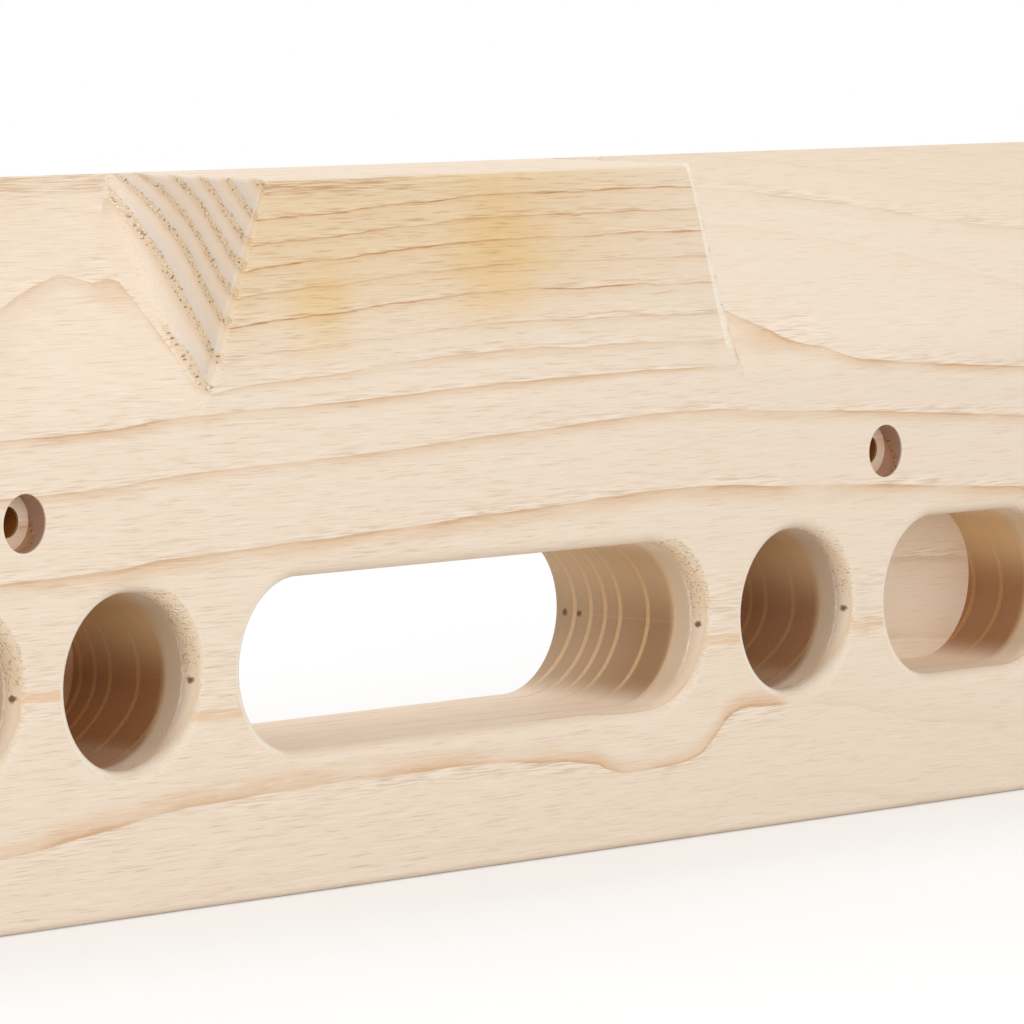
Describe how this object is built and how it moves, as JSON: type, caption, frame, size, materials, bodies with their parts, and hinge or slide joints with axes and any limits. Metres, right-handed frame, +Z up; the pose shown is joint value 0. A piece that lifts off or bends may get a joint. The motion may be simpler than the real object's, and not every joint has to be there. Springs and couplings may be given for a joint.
{
  "type": "hangboard",
  "caption": "Milled one-piece wooden hangboard for finger training, with a central slot, round holes, pockets and rounded slopers beside a raised middle block.",
  "frame": {"origin": "middle of the underside, halfway along the board and halfway through its thickness", "axes": "+X along the board's length, +Y from the front that the climber faces to the flat back on the wall, +Z up"},
  "size_m": [0.6406, 0.043, 0.15],
  "materials": {
    "wood": "sanded bare pale ring-porous hardwood, matt"
  },
  "bodies": {
    "root": {"board": "wood"}
  },
  "joints": []
}
